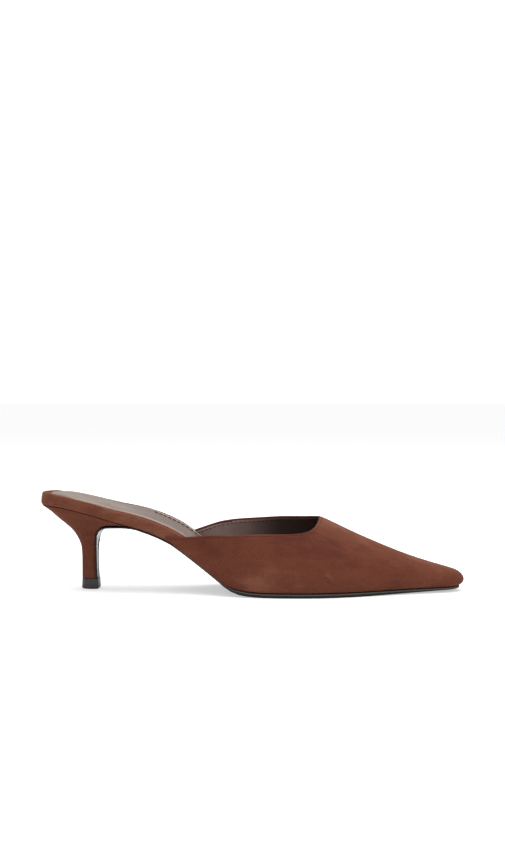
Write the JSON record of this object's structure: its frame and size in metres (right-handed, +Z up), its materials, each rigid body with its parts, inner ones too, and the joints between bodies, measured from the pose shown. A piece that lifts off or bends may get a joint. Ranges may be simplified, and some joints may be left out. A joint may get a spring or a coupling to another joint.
{
  "type": "mule pump",
  "caption": "Backless closed-toe shoe with a pointed low vamp, thick covered insole rim, thin sole and a slim kitten heel.",
  "frame": {"origin": "on the floor, under the middle of the shoe's bounding box", "axes": "+X towards the toe, +Y towards the wearer's inner side, +Z up"},
  "size_m": [0.261, 0.0786, 0.0598],
  "materials": {
    "brown_suede": "napped suede",
    "taupe_leather": "smooth satin",
    "dark_sole": "smooth glossy",
    "black_rubber": "satin"
  },
  "bodies": {
    "root": {"top_piece": "black_rubber", "heel": "brown_suede", "outsole": "dark_sole", "insole": "brown_suede", "sock": "taupe_leather", "upper": "brown_suede"}
  },
  "joints": []
}
